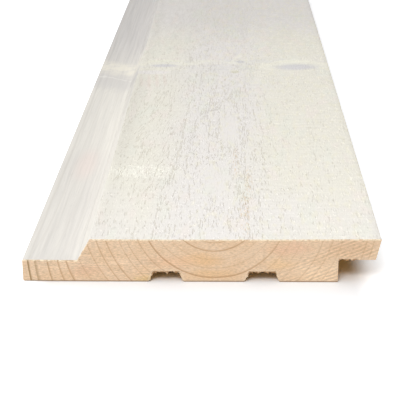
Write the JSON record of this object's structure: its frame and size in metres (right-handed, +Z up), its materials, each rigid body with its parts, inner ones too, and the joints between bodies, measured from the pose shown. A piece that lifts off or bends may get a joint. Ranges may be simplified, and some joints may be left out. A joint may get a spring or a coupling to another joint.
{
  "type": "double-rebated cladding board",
  "caption": "Long cladding board with a bevelled tongue on one edge, an undercut lip on the other and relief grooves in its back; fine-sawn face with a thin white primer.",
  "frame": {"origin": "middle of the board's back, halfway along its length, on the plane that lies against the battens", "axes": "+X across the width from the tongue edge to the lip edge, +Y along the length, +Z up out of the face"},
  "size_m": [0.148, 1.8, 0.019],
  "materials": {
    "primed_spruce": "matte"
  },
  "bodies": {
    "root": {"cladding_board": "primed_spruce"}
  },
  "joints": []
}
